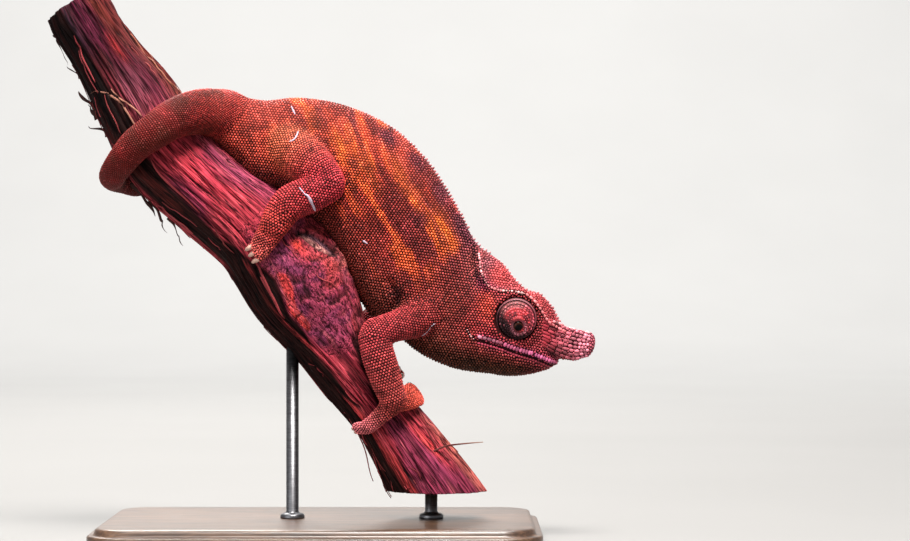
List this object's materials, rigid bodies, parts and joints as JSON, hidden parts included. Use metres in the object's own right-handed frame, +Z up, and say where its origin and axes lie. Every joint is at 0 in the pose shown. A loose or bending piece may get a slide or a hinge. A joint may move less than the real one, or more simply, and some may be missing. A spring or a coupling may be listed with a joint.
{
  "type": "chameleon",
  "caption": "Life-size panther chameleon climbing head down on a short cut branch, held by a plain display stand with a flat base and upright rods.",
  "frame": {"origin": "middle of the underside of the stand's base", "axes": "+Z up, +X towards the animal's snout, the animal's right flank faces -Y"},
  "size_m": [0.2193, 0.104, 0.221],
  "materials": {
    "skin": "fine granular scales, dry satin",
    "eyelid": "fine granular scales in rings, satin",
    "eyeball": "wet gloss",
    "claw": "smooth horn",
    "bark": "fibrous peeling bark",
    "stand_wood": "dark oiled wood",
    "stand_steel": "blackened steel"
  },
  "bodies": {
    "root": {"stand_base": "stand_wood", "stand_rod_foot": "stand_steel", "stand_rod_middle": "stand_steel", "branch": "bark", "trunk_rear": "skin", "trunk_front": "skin", "neck": "skin", "head": "skin", "jaw": "skin", "crest": "skin", "rostral_plates": "skin", "eye_turret_right": "eyelid", "eyeball_right": "eyeball", "eye_turret_left": "eyelid", "eyeball_left": "eyeball", "right_front_upper": "skin", "right_front_lower": "skin", "right_front_outer": "skin", "right_front_inner": "skin", "right_front_claw_outer_1": "claw", "right_front_claw_outer_2": "claw", "right_front_claw_inner_1": "claw", "right_front_claw_inner_2": "claw", "right_front_claw_inner_3": "claw", "left_front_upper": "skin", "left_front_lower": "skin", "left_front_outer": "skin", "left_front_inner": "skin", "left_front_claw_outer_1": "claw", "left_front_claw_outer_2": "claw", "left_front_claw_inner_1": "claw", "left_front_claw_inner_2": "claw", "left_front_claw_inner_3": "claw", "right_hind_upper": "skin", "right_hind_lower": "skin", "right_hind_outer": "skin", "right_hind_inner": "skin", "right_hind_claw_outer_1": "claw", "right_hind_claw_outer_2": "claw", "right_hind_claw_outer_3": "claw", "right_hind_claw_inner_1": "claw", "right_hind_claw_inner_2": "claw", "left_hind_upper": "skin", "left_hind_lower": "skin", "left_hind_outer": "skin", "left_hind_inner": "skin", "left_hind_claw_outer_1": "claw", "left_hind_claw_outer_2": "claw", "left_hind_claw_outer_3": "claw", "left_hind_claw_inner_1": "claw", "left_hind_claw_inner_2": "claw", "tail_1": "skin", "tail_2": "skin", "tail_3": "skin", "tail_4": "skin", "tail_5": "skin", "tail_6": "skin", "tail_7": "skin"}
  },
  "joints": []
}
